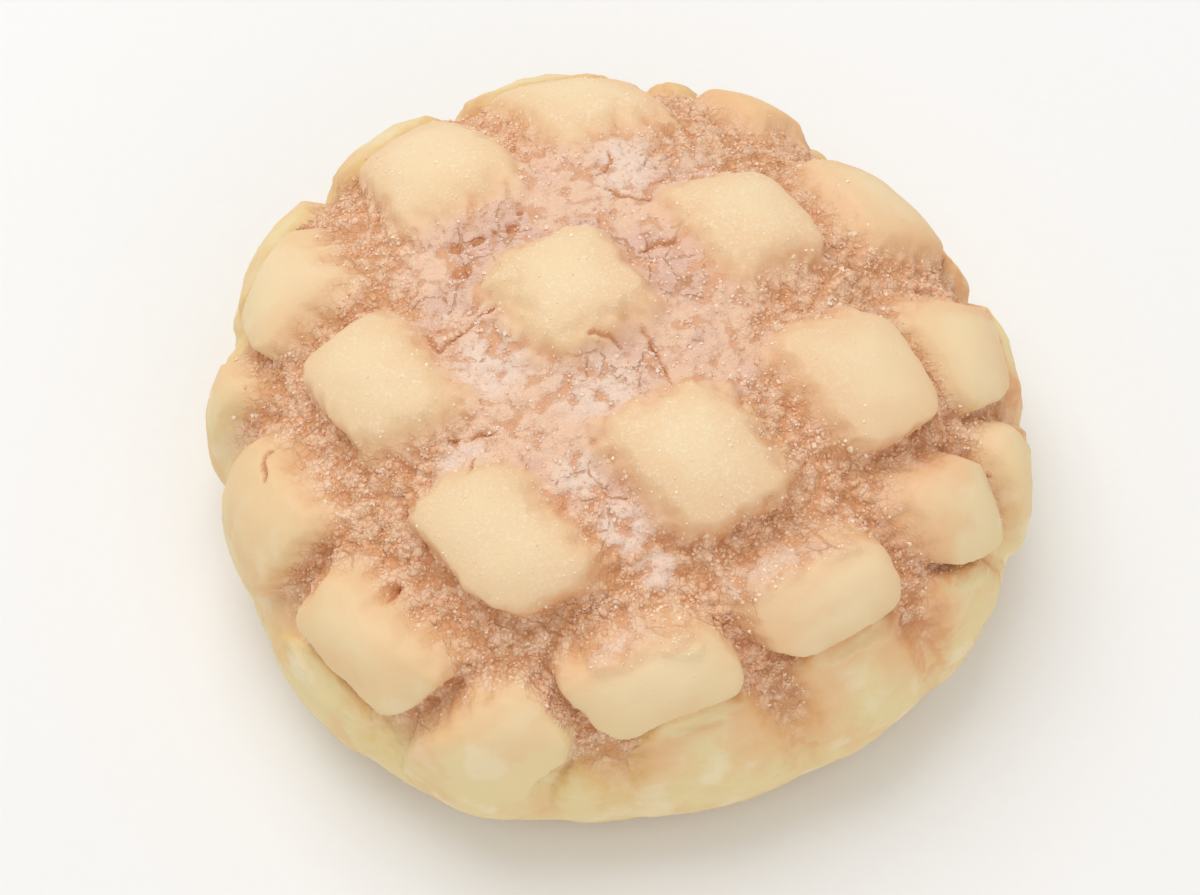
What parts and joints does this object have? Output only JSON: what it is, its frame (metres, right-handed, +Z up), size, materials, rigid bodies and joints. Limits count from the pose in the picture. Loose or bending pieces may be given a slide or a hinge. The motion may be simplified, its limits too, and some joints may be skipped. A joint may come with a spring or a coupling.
{
  "type": "melon pan bun",
  "caption": "Round sweet bread bun with a domed cookie crust scored into raised tiles, sugared grooves and a flat base.",
  "frame": {"origin": "centre of the flat base, in the middle of the bun's length and width", "axes": "+Z up, square to the base; -Y towards the side with the lowest hanging tiles; +X to the right of it"},
  "size_m": [0.115, 0.1156, 0.0465],
  "materials": {
    "crust": "dry baked cookie crust, pale cream tiles with toasted, sugared grooves"
  },
  "bodies": {
    "root": {"bun": "crust"}
  },
  "joints": []
}
